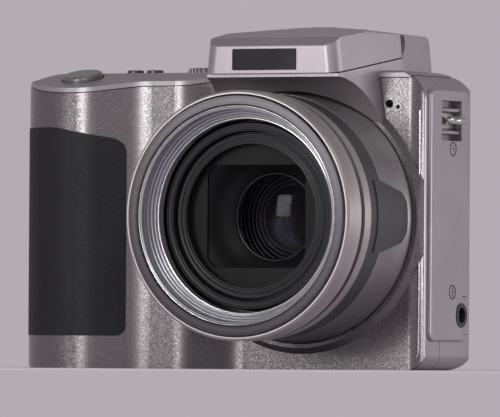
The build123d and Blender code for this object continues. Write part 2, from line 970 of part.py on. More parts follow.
def tab_prism(grow=0.0):
    """The tab that reaches back from the badge ring, as a bar along X."""
    root = badge_front + badge_ring_depth / 2
    shoulder = skirt_front + tab_shoulder_reach
    tip = skirt_front + tab_tip_reach
    points = [
        (root, lens_height - tab_root_half),
        (skirt_front, lens_height - tab_root_half),
        (shoulder, lens_height - tab_shoulder_half),
        (tip, lens_height - tab_tip_half),
        (tip, lens_height + tab_tip_half),
        (shoulder, lens_height + tab_shoulder_half),
        (skirt_front, lens_height + tab_root_half),
        (root, lens_height + tab_root_half),
    ]
    face = inset_by(Sketch() + make_face(Polyline(*points, close=True)), -grow)
    return from_side(face, 0, front_ring_radius + overrun)


def badge_ring():
    outer = front_ring_radius - badge_ring_step
    hoop = ring(ring_bore, outer, badge_front, skirt_front)
    patch = ring(tab_bore, outer + band_step, badge_front, body_front) & tab_prism()
    return hoop + patch


def lens_skirt():
    outer = front_ring_radius - skirt_step
    base = skirt_base_radius
    hoop = turned([
        (ring_bore, skirt_front),
        (outer, skirt_front),
        (outer, (skirt_front + body_front) / 2),
        (base, body_front),
        (base, front_parting),
        (ring_bore, front_parting),
    ])
    return hoop - (ring(tab_bore - pin_gap, base + overrun, badge_front, body_front) & tab_prism(pin_gap))


def lens_chassis():
    outer = chassis_inner + chassis_wall
    tube = ring(chassis_inner, outer, sleeve_back, chassis_back)
    flange_front = front_parting + seam / 2
    flange = ring(chassis_inner, chassis_flange_radius, flange_front, flange_front + chassis_plate)
    flange = flange & block(body_left, inner_right(), lens_front, body_back, base_thick * 2, hump_floor - wall)
    back = ring(shutter_hole * 2, outer, chassis_back - chassis_plate, chassis_back)
    for angle in slot_angles():
        tube = tube - guide_groove(angle)
    return tube + flange + back + spacer_ring()


def inner_right():
    return body_right - wall - fit_gap * 2


def slot_angles():
    return [index * 360 / cam_slots for index in range(cam_slots)]


def slot_cutters(angle):
    """The helical slot that carries a follower forward by the barrel's travel, and its two round ends."""
    middle = chassis_inner - slide_gap - cam_ring_wall / 2
    half = follower_radius + follower_gap
    path = Helix(pitch=outer_travel * 360 / cam_turn, height=outer_travel, radius=middle, lefthand=True)
    face = Plane(origin=path @ 0, x_dir=(1, 0, 0), z_dir=path % 0) * Rectangle(cam_ring_wall * 2, half * 2)
    cutters = [sweep(face, path=path, is_frenet=True)]
    for place in (0, 1):
        end = path @ place
        radial = Vector(end.X, end.Y, 0).normalized() * cam_ring_wall
        cutters.append(rod(end - radial, end + radial, half))
    facing = Plane(origin=(0, follower_y, lens_height), x_dir=(1, 0, 0), z_dir=(0, -1, 0))
    return [facing * (Rot(0, 0, angle) * cutter) for cutter in cutters]


def cam_ring():
    outer = chassis_inner - slide_gap
    hoop = ring(outer - cam_ring_wall, outer, cam_ring_front, cam_ring_back)
    for angle in slot_angles():
        for cutter in slot_cutters(angle):
            hoop = hoop - cutter
    return hoop


def guide_groove(angle):
    """A straight groove in the chassis that lets a follower slide but not turn."""
    half = follower_radius + follower_gap
    front = follower_y - outer_travel - half
    return Pos(0, 0, lens_height) * Rot(0, -angle, 0) * Pos(0, 0, -lens_height) * block(
        chassis_inner - slide_gap, groove_reach, front, follower_y + half, lens_height - half, lens_height + half)


def follower(angle):
    """A round pin that stands out of the barrel through the cam ring."""
    way = Vector(math.cos(math.radians(angle)), 0, math.sin(math.radians(angle)))
    root = Vector(0, follower_y, lens_height)
    return rod(root + way * (outer_barrel_radius - outer_barrel_wall / 2), root + way * follower_reach, follower_radius)


def barrel(radius, thick, front, back, lip):
    """A thin tube with a bevelled front and, where it has one, a narrow lip turned in there."""
    tube = turned([
        (radius - thick, back),
        (radius, back),
        (radius, front + plate_edge),
        (radius - plate_edge, front),
        (radius - thick, front),
    ])
    if lip:
        tube = tube + ring(radius - thick - lip, radius - thick, front, front + lip)
    return tube


def inner_barrel_radius():
    return outer_barrel_radius - outer_barrel_wall - slide_gap


def zoom_barrel_outer():
    radius = outer_barrel_radius
    tube = barrel(radius, outer_barrel_wall, outer_barrel_front, outer_barrel_back, 0)
    for angle in slot_angles():
        tube = tube + follower(angle)
    return tube


def mask_hole():
    """The clear shape of the light mask: a rectangle whose corners follow a circle."""
    return Pos(0, lens_height) * (Rectangle(mask_width, mask_height) & Circle(mask_round))


def zoom_barrel_inner():
    radius = inner_barrel_radius()
    tube = barrel(radius, inner_barrel_wall, inner_barrel_front, inner_barrel_back, barrel_lip)
    bore = radius - inner_barrel_wall
    cell = turned([
        (front_glass_radius + slide_gap, cone_back),
        (bore, inner_barrel_front + mask_depth + mask_thick * 2),
        (bore, cone_back + front_glass_edge),
        (front_glass_radius + slide_gap, cone_back + front_glass_edge),
    ])
    holder = ring(middle_glass_radius + pin_gap, bore, middle_glass_y, middle_glass_y + middle_glass_thick)
    return tube + cell + holder


def lens_mask():
    front = inner_barrel_front + mask_depth
    plate = disc(inner_barrel_radius() - inner_barrel_wall - pin_gap, front, front + mask_thick)
    return plate - from_front(mask_hole(), front - overrun, front + overrun)


def dome(radius, top, bulge, way):
    """The ball whose cap of the given radius rises to a top on the lens axis."""
    size = (radius * radius + bulge * bulge) / (bulge * 2)
    return Pos(0, top + way * size, lens_height) * Sphere(size)


def glass(radius, y, edge, front_bulge, back_bulge):
    """A lens with round faces, from its rim's front y, edge thickness and the rise of each face."""
    blank = disc(radius, y - front_bulge, y + edge + back_bulge)
    blank = blank & dome(radius, y - front_bulge, front_bulge, 1)
    if back_bulge:
        blank = blank & dome(radius, y + edge + back_bulge, back_bulge, -1)
    return blank


def front_lens():
    return glass(front_glass_radius, cone_back, front_glass_edge, front_glass_bulge, 0)


def middle_lens():
    return glass(middle_glass_radius, middle_glass_y, middle_glass_thick, plate_edge, plate_edge)


def shutter_unit():
    front = middle_glass_y + middle_glass_thick + plate_edge + slide_gap
    radius = inner_barrel_radius() - inner_barrel_wall - pin_gap
    return disc(radius, front, front + shutter_thick) - disc(shutter_hole, front, front + overrun)


def focus_cell():
    back = focus_glass_y + focus_glass_thick
    return ring(focus_glass_radius + pin_gap, chassis_inner - fit_gap, focus_glass_y, back)


def focus_lens():
    return glass(focus_glass_radius, focus_glass_y, focus_glass_thick, plate_edge, plate_edge / 2)


def image_sensor():
    """The sensor chip on its metal plate, screwed to the back of the chassis."""
    half = sensor_plate_size / 2
    plate = block(-half, half, chassis_back, chassis_back + sensor_plate_thick, lens_height - half,
                  lens_height + half)
    return plate + block(-sensor_width / 2, sensor_width / 2, chassis_back - sensor_thick, chassis_back,
                         lens_height - sensor_height / 2, lens_height + sensor_height / 2)


def lid_plane(y):
    """A plane on the flash head's underside, facing up through the lid."""
    rise = math.atan2(lid_parting_rear - hump_waist_height, lid_back - hump_front)
    return Plane(origin=(0, y, lid_height(y)), x_dir=(1, 0, 0), z_dir=(0, -math.sin(rise), math.cos(rise)))


def flash_middle_y():
    return hump_front + flash_window_front + flash_window_depth / 2


def flash_box(grow, low, high):
    plane = lid_plane(flash_middle_y())
    face = Rectangle(flash_window_width + grow * 2, flash_window_depth + grow * 2)
    return extrude(plane.offset(low) * face, high - low)


def flash_pin(grow=0.0):
    return rod((-flash_pin_half - grow, flash_axis_y, flash_axis_height),
               (flash_pin_half + grow, flash_axis_y, flash_axis_height), flash_pin_radius + grow)


def flash_head():
    lid = outer_hump & above_lid_line(0, lid_back)
    lid = lid - flash_box(pin_gap, -overrun, flash_window_thick + reflector_height + pin_gap)
    for side in (-1, 1):
        near = side * (flash_knuckle_inner - fit_gap)
        far = side * (flash_knuckle_outer + fit_gap)
        notch_front = flash_axis_y - flash_knuckle_radius - fit_gap
        lid = lid - block(min(near, far), max(near, far), notch_front, overrun, 0, hump_top + overrun)
    lid = lid - flash_pin(pin_gap)
    plate = block(badge_x - badge_width / 2, badge_x + badge_width / 2, hump_front - overrun,
                  hump_front + badge_thick, badge_low(), badge_low() + badge_height)
    return lid - plate


def badge_low():
    return (hump_waist_height + face_top - badge_height) / 2


def badge_blank():
    half = badge_width / 2 - pin_gap
    face = Pos(badge_x, badge_low() + badge_height / 2) * RectangleRounded(
        half * 2, badge_height - pin_gap * 2, plate_edge)
    return from_front(face, hump_front - badge_thick / 2, hump_front + badge_thick)


def flash_window():
    return flash_box(0, 0, flash_window_thick)


def flash_reflector():
    """The reflector trough with the discharge tube held between its end walls."""
    low = flash_window_thick
    trough = flash_box(-pin_gap, low, low + reflector_height)
    plane = lid_plane(flash_middle_y())
    half = flash_window_width / 2 - wall
    middle = plane.offset(low)
    depth = reflector_height - plate_edge
    groove = Rot(0, 90, 0) * Cylinder(depth, half * 2)
    tube = Rot(0, 90, 0) * Cylinder(xenon_radius, half * 2 + plate_edge)
    return trough - middle * groove + middle.offset(xenon_radius + plate_edge) * tube


def shutter_button():
    low = shutter_travel + slide_gap - shutter_recess
    cap = extrude(slope_plane.offset(low) * Circle(shutter_button_radius), shutter_button_thick)
    top = cap.faces().sort_by(Axis.Z)[-1].edges()
    cap = fillet(top, shutter_button_dome)
    stem = extrude(slope_plane.offset(low - shutter_stem_length) * Circle(shutter_stem_radius), shutter_stem_length)
    return cap + stem


def top_button(x):
    low = body_top - wall - top_button_travel - slide_gap
    cap = rod((x, top_button_y, low), (x, top_button_y, body_top + top_button_proud), top_button_radius)
    cap = fillet(cap.faces().sort_by(Axis.Z)[-1].edges(), plate_edge / 2)
    flange_top = body_top - wall - pin_gap
    return cap + rod((x, top_button_y, flange_top - button_flange_thick), (x, top_button_y, flange_top),
                     top_button_radius + top_button_flange)


def mode_dial():
    low = body_top - dial_recess + slide_gap
    high = low + dial_height
    rim = Circle(dial_radius) - PolarLocations(dial_radius, dial_teeth) * Circle(dial_tooth)
    dial = from_above(Pos(dial_x, dial_y) * rim, low, high)
    crown = rod((dial_x, dial_y, low), (dial_x, dial_y, high), dial_radius)
    dial = dial & fillet(crown.faces().sort_by(Axis.Z)[-1].edges(), plate_edge)
    return dial + rod((dial_x, dial_y, low - dial_shaft_length), (dial_x, dial_y, low), dial_shaft_radius)


def screen_window():
    return from_front(screen_outline(0), body_back - screen_thick, body_back)


def screen_module():
    back = body_back - wall - slide_gap
    middle = (screen_low + screen_high) / 2
    high = (screen_high - screen_low) / 2
    return block(-module_half, module_half, back - module_thick, back, middle - high, middle + high)


def main_board():
    """The circuit board with the flash capacitor standing on its front face."""
    board = block(board_left, board_right, board_y, board_y + board_thick, board_low, board_high)
    y = board_y - capacitor_radius + capacitor_sunk
    start = (capacitor_x, y, capacitor_low)
    return board + rod(start, (capacitor_x, y, capacitor_low + capacitor_length), capacitor_radius)


def finder_housing():
    outer = finder_outline(finder_half_width, finder_half_height, finder_round)
    inner = finder_outline(eye_lens_half_width + slide_gap, eye_lens_half_height + slide_gap, finder_round / 2)
    return from_front(outer, finder_front, finder_back) - from_front(inner, finder_front - overrun, eyecup_back)


def eyecup():
    near = finder_outline(finder_half_width, finder_half_height, finder_round)
    far = finder_outline(finder_half_width + eyecup_spread, finder_half_height + eyecup_spread,
                         finder_round + eyecup_spread)
    near_face = Plane(origin=(0, finder_back, 0), x_dir=(1, 0, 0), z_dir=(0, -1, 0)) * near
    far_face = Plane(origin=(0, eyecup_back, 0), x_dir=(1, 0, 0), z_dir=(0, -1, 0)) * far
    cup = loft([near_face.faces()[0], far_face.faces()[0]])
    inner = finder_outline(finder_half_width - eyecup_wall, finder_half_height - eyecup_wall, finder_round / 2)
    return cup - from_front(inner, finder_back - overrun, eyecup_back + overrun)


def eyepiece_lens():
    face = finder_outline(eye_lens_half_width, eye_lens_half_height, finder_round / 2)
    return from_front(face, finder_back - eye_lens_thick - plate_edge, finder_back - plate_edge)


def finder_display():
    """The finder's small display with the black light box between it and the eyepiece."""
    back = finder_front - slide_gap
    high = eye_lens_half_height - slide_gap
    outer = finder_outline(eye_lens_half_width, high, plate_edge)
    inner = finder_outline(eye_lens_half_width - plate_edge, high - plate_edge, plate_edge / 2)
    tube = from_front(outer, eye_tube_front, back) - from_front(inner, eye_tube_front, back + overrun)
    return tube + from_front(outer, eye_tube_front - finder_display_thick, eye_tube_front)


def back_button(x, height):
    inside = body_back - wall
    cap = rod((x, inside - back_button_travel - slide_gap, height), (x, body_back + back_button_proud, height),
              back_button_radius)
    cap = fillet(cap.faces().sort_by(Axis.Y)[-1].edges(), plate_edge / 2)
    flange_back = inside - pin_gap
    return cap + rod((x, flange_back - button_flange_thick, height), (x, flange_back, height),
                     back_button_radius + button_flange)


def zoom_rocker():
    face = Pos(rocker_x, rocker_height) * RectangleRounded(
        rocker_half * 2, rocker_half_height * 2, rocker_round)
    key = from_front(face, body_back + rocker_proud - rocker_depth, body_back + rocker_proud)
    return fillet(key.faces().sort_by(Axis.Y)[-1].edges(), plate_edge) + rocker_pins()


def rocker_pins(grow=0.0):
    """The rocker's two pivot pins, one above and one below it."""
    y = body_back - wall / 2
    reach = rocker_half_height + fit_gap + rocker_pin_length + grow
    start = (rocker_x, y, rocker_height - reach)
    return rod(start, (rocker_x, y, rocker_height + reach), rocker_pin + grow)


def stick_pivot():
    return (stick_x, body_back - stick_pivot_depth, stick_height)


def gimbal_pins(grow=0.0):
    """The pins on which the joystick's ring swings in its boss."""
    x, y, z = stick_pivot()
    reach = gimbal_outer + slide_gap + gimbal_pin_length + grow
    return rod((x - reach, y, z), (x + reach, y, z), gimbal_pin + grow)


def stick_pins(grow=0.0):
    """The pins on which the joystick's stem swings in its ring."""
    x, y, z = stick_pivot()
    reach = gimbal_outer - gimbal_wall / 2 + grow
    return rod((x, y, z - reach), (x, y, z + reach), gimbal_pin + grow)


def joystick_gimbal():
    x, y, z = stick_pivot()
    start = (x, y - gimbal_thick / 2, z)
    end = (x, y + gimbal_thick / 2, z)
    hoop = rod(start, end, gimbal_outer) + gimbal_pins()
    return hoop - rod(start, end, gimbal_outer - gimbal_wall) - stick_pins(pin_gap)


def joystick_cap():
    y = body_back - stick_pivot_depth
    stem = rod((stick_x, y - gimbal_thick / 2, stick_height), (stick_x, body_back + stick_proud, stick_height),
               stick_stem)
    cap = rod((stick_x, body_back + plate_edge, stick_height), (stick_x, body_back + stick_proud, stick_height),
              stick_radius)
    return fillet(cap.faces().sort_by(Axis.Y)[-1].edges(), plate_edge) + stem + stick_pins()


def battery_box():
    high = cell_low + cell_length + cell_nub + plate_edge
    box = from_above(slot_plan(cell_radius + slide_gap + bay_wall), bay_low, high + bay_top_wall)
    for x, y in cell_places():
        box = box - rod((x, y, bay_low - overrun), (x, y, high), cell_radius + slide_gap)
    return box & inner_room


def battery_cells():
    cells = []
    for index, (x, y) in enumerate(cell_places()):
        top = cell_low + cell_length
        can = rod((x, y, cell_low), (x, y, top), cell_radius)
        if index:
            nub = rod((x, y, cell_low - cell_nub), (x, y, cell_low), cell_nub_radius)
        else:
            nub = rod((x, y, top), (x, y, top + cell_nub), cell_nub_radius)
        cells.append(can + nub)
    return Compound(children=cells)


def door_plan(grow=0.0):
    middle = cell_front_y + cell_pitch / 2
    slot = slot_plan(cell_radius + door_margin + grow)
    tongue_left = cell_x
    tongue_right = door_hinge_x + door_thick / 2 + grow
    tongue = Pos((tongue_left + tongue_right) / 2, middle) * Rectangle(
        tongue_right - tongue_left, (door_hinge_half + grow) * 2)
    return slot + tongue


def door_pin(grow=0.0):
    middle = cell_front_y + cell_pitch / 2
    half = door_hinge_half + door_pin_spare + grow
    return rod((door_hinge_x, middle - half, door_thick / 2), (door_hinge_x, middle + half, door_thick / 2),
               door_pin_radius + grow)


def latch_place():
    return cell_x - cell_radius - door_margin + latch_length / 2 + bay_wall


def battery_door():
    middle = cell_front_y + cell_pitch / 2
    door = from_above(door_plan(), 0, door_thick)
    door = door - block(door_hinge_x, door_hinge_x + overrun, middle - overrun, middle + overrun, -overrun, overrun)
    barrel_start = (door_hinge_x, middle - door_hinge_half, door_thick / 2)
    barrel_end = (door_hinge_x, middle + door_hinge_half, door_thick / 2)
    door = door + rod(barrel_start, barrel_end, door_thick / 2) + door_pin()
    x = latch_place()
    pocket = block(x - latch_length / 2 - slide_gap, x + latch_length / 2 + latch_travel + slide_gap,
                   middle - latch_width / 2 - slide_gap, middle + latch_width / 2 + slide_gap,
                   -overrun, latch_pocket_depth)
    return door - pocket


def battery_latch():
    middle = cell_front_y + cell_pitch / 2
    x = latch_place()
    bar = block(x - latch_length / 2, x + latch_length / 2, middle - latch_width / 2, middle + latch_width / 2,
                slide_gap / 2, latch_thick)
    for index in range(latch_grooves):
        groove = x - latch_length / 2 + (index + 1) * latch_length / (latch_grooves + 1)
        bar = bar - block(groove - slide_gap, groove + slide_gap, middle - latch_width, middle + latch_width,
                          0, slide_gap * 2)
    return bar


def tripod_socket():
    bush = rod((0, 0, 0), (0, 0, socket_length), socket_radius)
    bush = bush + rod((0, 0, base_thick + pin_gap), (0, 0, base_thick + socket_flange), socket_flange_radius)
    return bush - rod((0, 0, 0), (0, 0, socket_depth), socket_bore)


def card_slot():
    front = board_y - card_frame * 2 - card_thick - card_gap * 2
    frame = block(card_left - card_frame, card_left + card_width + card_frame + card_gap * 2, front, board_y,
                  card_low, card_low + card_length + card_frame + card_gap)
    room = block(card_left, card_left + card_width + card_gap * 2, front + card_frame, board_y - card_frame,
                 0, card_low + card_length + card_gap)
    return frame - room


def memory_card():
    front = board_y - card_frame - card_thick - card_gap
    left = card_left + card_gap
    card = block(left, left + card_width, front, front + card_thick, card_low, card_low + card_length)
    corner = card.edges().filter_by(Axis.Y).sort_by(lambda e: e.center().X + e.center().Z)[-1]
    return chamfer(corner, card_width / 6)


def build():
    pieces = {
        "front_shell": front_shell(),
        "middle_shell": middle_shell(),
        "rear_shell": rear_shell(),
        "top_cover": top_cover(),
        "base_plate": base_plate(),
        "grip_pad": grip_pad(),
        "side_plate": side_plate(),
        "case_screws": case_screws(),
        "strap_lugs": Compound(children=[strap_lug(True), strap_lug(False)]),
        "dc_jack": dc_jack(),
        "self_timer_lamp": self_timer_lamp(),
        "microphone": microphone(),
        "front_ring": front_ring(),
        "ring_sleeve": ring_sleeve(),
        "thread_ring": thread_ring(),
        "barrel_band": barrel_band(),
        "badge_ring": badge_ring(),
        "lens_skirt": lens_skirt(),
        "lens_chassis": lens_chassis(),
        "cam_ring": cam_ring(),
        "zoom_barrel_outer": zoom_barrel_outer(),
        "zoom_barrel_inner": zoom_barrel_inner(),
        "lens_mask": lens_mask(),
        "front_lens": front_lens(),
        "middle_lens": middle_lens(),
        "shutter_unit": shutter_unit(),
        "focus_lens": focus_lens(),
        "focus_cell": focus_cell(),
        "image_sensor": image_sensor(),
        "flash_head": flash_head(),
        "badge_blank": badge_blank(),
        "flash_window": flash_window(),
        "flash_reflector": flash_reflector(),
        "flash_hinge_pin": flash_pin(),
        "shutter_button": shutter_button(),
        "flash_mode_button": top_button(top_button_x[0]),
        "focus_mode_button": top_button(top_button_x[1]),
        "mode_dial": mode_dial(),
        "screen_window": screen_window(),
        "screen_module": screen_module(),
        "main_board": main_board(),
        "finder_housing": finder_housing(),
        "eyecup": eyecup(),
        "eyepiece_lens": eyepiece_lens(),
        "finder_display": finder_display(),
        "zoom_rocker": zoom_rocker(),
        "joystick_gimbal": joystick_gimbal(),
        "joystick_cap": joystick_cap(),
        "battery_box": battery_box(),
        "battery_cells": battery_cells(),
        "battery_door": battery_door(),
        "battery_latch": battery_latch(),
        "card_slot": card_slot(),
        "memory_card": memory_card(),
        "tripod_socket": tripod_socket(),
    }
    for name, (x, height) in back_buttons.items():
        pieces[name] = back_button(x, height)
    return pieces


os.makedirs("parts", exist_ok=True)
for name, piece in build().items():
    export_step(piece, "parts/" + name + ".step")
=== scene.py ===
import math

import bmesh
import bpy
from mathutils import Matrix, Vector


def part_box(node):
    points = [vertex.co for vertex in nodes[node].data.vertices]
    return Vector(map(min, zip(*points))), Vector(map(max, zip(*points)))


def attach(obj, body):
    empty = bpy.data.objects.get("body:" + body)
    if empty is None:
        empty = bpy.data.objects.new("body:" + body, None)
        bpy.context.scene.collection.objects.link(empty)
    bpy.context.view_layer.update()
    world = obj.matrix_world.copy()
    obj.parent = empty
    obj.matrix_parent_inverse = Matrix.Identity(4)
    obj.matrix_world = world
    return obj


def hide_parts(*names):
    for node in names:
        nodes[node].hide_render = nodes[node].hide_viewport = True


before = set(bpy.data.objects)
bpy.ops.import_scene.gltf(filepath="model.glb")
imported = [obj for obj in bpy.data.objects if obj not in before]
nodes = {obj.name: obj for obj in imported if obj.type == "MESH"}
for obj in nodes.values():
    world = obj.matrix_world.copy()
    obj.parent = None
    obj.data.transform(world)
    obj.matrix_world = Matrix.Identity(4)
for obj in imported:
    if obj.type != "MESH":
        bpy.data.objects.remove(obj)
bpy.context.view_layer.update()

# Distances are in metres: +X to the right of the lens as the camera is seen, +Y to the back, +Z up.
MM = 0.001
ACROSS = Vector((1, 0, 0))
BACK = Vector((0, 1, 0))
UP = Vector((0, 0, 1))
LENS_HEIGHT = 34 * MM

# The view was fitted to the photograph
VIEW_AZIMUTH = math.radians(27.0)
VIEW_ELEVATION = math.radians(-0.97)
VIEW_ROLL = math.radians(0.37)
VIEW_DISTANCE = 2.0
VIEW_TARGET = Vector((-0.01318, -0.0140, 0.03616))
PIXELS_PER_METRE = 4443
IMAGE_WIDTH = 500
SENSOR = 36.0
CLIP_START = 0.01

BACKDROP = (0.456, 0.413, 0.451, 1)
# The floor shows the object's shadow up to here, and fades into the backdrop by there
POOL_START = 0.10
POOL_END = 0.45
# The share of the backdrop in what the camera sees of the floor close to the object
POOL_GLOW = 0.3
FLOOR_HALF = 3.0
FLOOR_SCALE = 25
FLOOR_SHADES = (1.45, 1.50)
# The backdrop darkens between these heights of the direction in which it is seen
CEILING_START = 0.15
CEILING_END = 0.75
CEILING_GLOW = 0.3
SKY_TINT = (0.92, 0.93, 1.0, 1)
SKY_STRENGTH = 0.45
LAMP_TARGET = Vector((-0.02, -0.01, 0.035))


class Nodes:
    """A material's node tree with short ways to add and join nodes."""

    def __init__(self, name):
        self.material = bpy.data.materials.new(name)
        self.material.use_nodes = True
        self.tree = self.material.node_tree
        self.tree.nodes.clear()
        self.shader = self.add("ShaderNodeBsdfPrincipled")
        self.output = self.add("ShaderNodeOutputMaterial")
        self.join(self.shader, "BSDF", self.output, "Surface")
        self.place = self.add("ShaderNodeTexCoord")

    def add(self, kind, **values):
        node = self.tree.nodes.new(kind)
        for key, value in values.items():
            setattr(node, key, value)
        return node

    def join(self, source, out, target, into):
        self.tree.links.new(source.outputs[out], target.inputs[into])

    def texture(self, kind, scale, stretch=None, detail=None, **values):
        """A texture node over the object's own coordinates, in cells per metre."""
        node = self.add(kind, **values)
        node.inputs["Scale"].default_value = scale
        if detail:
            node.inputs["Detail"].default_value = detail
        if stretch:
            mapping = self.add("ShaderNodeMapping")
            mapping.inputs["Scale"].default_value = stretch
            self.join(self.place, "Object", mapping, "Vector")
            self.join(mapping, "Vector", node, "Vector")
        else:
            self.join(self.place, "Object", node, "Vector")
        return node

    def ramp(self, source, out, stops):
        node = self.add("ShaderNodeValToRGB")
        elements = node.color_ramp.elements
        while len(elements) < len(stops):
            elements.new(0.5)
        for element, (at, colour) in zip(elements, stops):
            element.position = at
            element.color = (*colour, 1)
        self.join(source, out, node, "Fac")
        return node

    def drift(self, source, colour, shades, start=0.3, end=0.7):
        """The base colour drifts with a texture between two shades of one colour."""
        low, high = shades
        tone = self.ramp(source, "Fac", [(start, shade(colour, low)), (end, shade(colour, high))])
        self.join(tone, "Color", self.shader, "Base Color")

    def gloss(self, source, out, rough, wander):
        """The roughness wanders with a texture from its named value, down and up by these amounts."""
        down, up = wander
        node = self.add("ShaderNodeMapRange")
        node.inputs["To Min"].default_value = rough + down
        node.inputs["To Max"].default_value = rough + up
        self.join(source, out, node, "Value")
        self.join(node, "Result", self.shader, "Roughness")

    def bump(self, source, out, strength, distance):
        node = self.add("ShaderNodeBump")
        node.inputs["Strength"].default_value = strength
        node.inputs["Distance"].default_value = distance
        self.join(source, out, node, "Height")
        self.join(node, "Normal", self.shader, "Normal")
        return node

    def set(self, **values):
        for key, value in values.items():
            self.shader.inputs[key.replace("_", " ")].default_value = value


def shade(colour, factor):
    return tuple(min(1, channel * factor) for channel in colour)


# Texture scales, in cells per metre
BLOTCH_SCALE = 60
CLOUD_SCALE = 45
WEAR_SCALE = 90
SCRATCH_SCALE = 900
SMUDGE_SCALE = 180
GLASS_SCALE = 40
# How many layers of finer detail a noise has
BLOTCH_DETAIL = 4
WEAR_DETAIL = 5
TURNING_DETAIL = 3
# The height of the fine relief
GRAIN_HEIGHT = 0.2 * MM
TURNING_HEIGHT = 0.1 * MM
SCRATCH_STRENGTH = 0.05
# The shades between which each kind of surface drifts, as shares of its colour
PAINT_SHADES = (0.93, 1.06)
RUBBER_SHADES = (0.85, 1.2)
TURNED_SHADES = (0.86, 1.12)
METAL_SHADES = (0.88, 1.08)
GLASS_SHADES = (1.0, 0.92)
# The flakes of the metallic paint: the share of the flakes up to a shade, and that shade
FLAKE_SHADES = ((0.0, 0.72), (0.5, 1.0), (0.88, 1.2), (0.98, 1.7))
CLOUD_STOPS = ((0.3, (0.93, 0.93, 0.93)), (0.7, (1.0, 1.0, 1.0)))
MIDDLE = (0.5, 0.5, 0.5)
# How far the roughness of each kind of surface wanders down and up
PAINT_WANDER = (-0.06, 0.06)
FLAKE_WANDER = (-0.08, 0.08)
RUBBER_WANDER = (-0.1, 0.08)
TURNED_WANDER = (-0.07, 0.09)
METAL_WANDER = (-0.08, 0.1)
GLASS_WANDER = (0.0, 0.02)


def plain_paint(name, colour, rough, metal=0.0, coat=0.0, grain=2600, depth=0.03, shine=0.5):
    """Moulded plastic or smooth paint: slow blotches of tone, fine grain and a little uneven gloss."""
    made = Nodes(name)
    made.set(Specular_IOR_Level=shine)
    made.drift(made.texture("ShaderNodeTexNoise", BLOTCH_SCALE, detail=BLOTCH_DETAIL), colour, PAINT_SHADES)
    fine = made.texture("ShaderNodeTexNoise", grain)
    made.gloss(fine, "Fac", rough, PAINT_WANDER)
    made.bump(fine, "Fac", depth, GRAIN_HEIGHT)
    made.set(Metallic=metal, Coat_Weight=coat, Coat_Roughness=0.12)
    return made.material


def flake_paint(name, colour, rough, metal, sparkle, cell):
    """Metallic paint: every flake has its own tone and leans its own way."""
    made = Nodes(name)
    flakes = made.texture("ShaderNodeTexVoronoi", 1 / cell)
    split = made.add("ShaderNodeSeparateColor")
    made.join(flakes, "Color", split, "Color")
    tone = made.ramp(split, "Red", [(at, shade(colour, factor)) for at, factor in FLAKE_SHADES])
    cloud = made.ramp(made.texture("ShaderNodeTexNoise", CLOUD_SCALE), "Fac", CLOUD_STOPS)
    mix = made.add("ShaderNodeMix", data_type="RGBA", blend_type="MULTIPLY")
    mix.inputs["Factor"].default_value = 1
    made.join(tone, "Color", mix, "A")
    made.join(cloud, "Color", mix, "B")
    made.join(mix, "Result", made.shader, "Base Color")
    lean = made.add("ShaderNodeVectorMath", operation="SUBTRACT")
    made.join(flakes, "Color", lean, 0)
    lean.inputs[1].default_value = MIDDLE
    small = made.add("ShaderNodeVectorMath", operation="SCALE")
    small.inputs["Scale"].default_value = sparkle
    made.join(lean, "Vector", small, 0)
    geometry = made.add("ShaderNodeNewGeometry")
    total = made.add("ShaderNodeVectorMath", operation="ADD")
    made.join(small, "Vector", total, 0)
    made.join(geometry, "Normal", total, 1)
    unit = made.add("ShaderNodeVectorMath", operation="NORMALIZE")
    made.join(total, "Vector", unit, 0)
    made.join(unit, "Vector", made.shader, "Normal")
    made.gloss(split, "Green", rough, FLAKE_WANDER)
    made.set(Metallic=metal, Coat_Weight=0.3, Coat_Roughness=0.2)
    return made.material


def rubber(name, colour, rough, pebble, depth):
    """Rubber with a fine pebbled skin that is a little shinier on its high spots."""
    made = Nodes(name)
    cells = made.texture("ShaderNodeTexVoronoi", pebble, feature="SMOOTH_F1")
    wear = made.texture("ShaderNodeTexNoise", WEAR_SCALE, detail=WEAR_DETAIL)
    made.drift(wear, colour, RUBBER_SHADES, end=0.72)
    made.gloss(cells, "Distance", rough, RUBBER_WANDER)
    made.bump(cells, "Distance", depth, GRAIN_HEIGHT)
    made.set(Specular_IOR_Level=0.28)
    return made.material


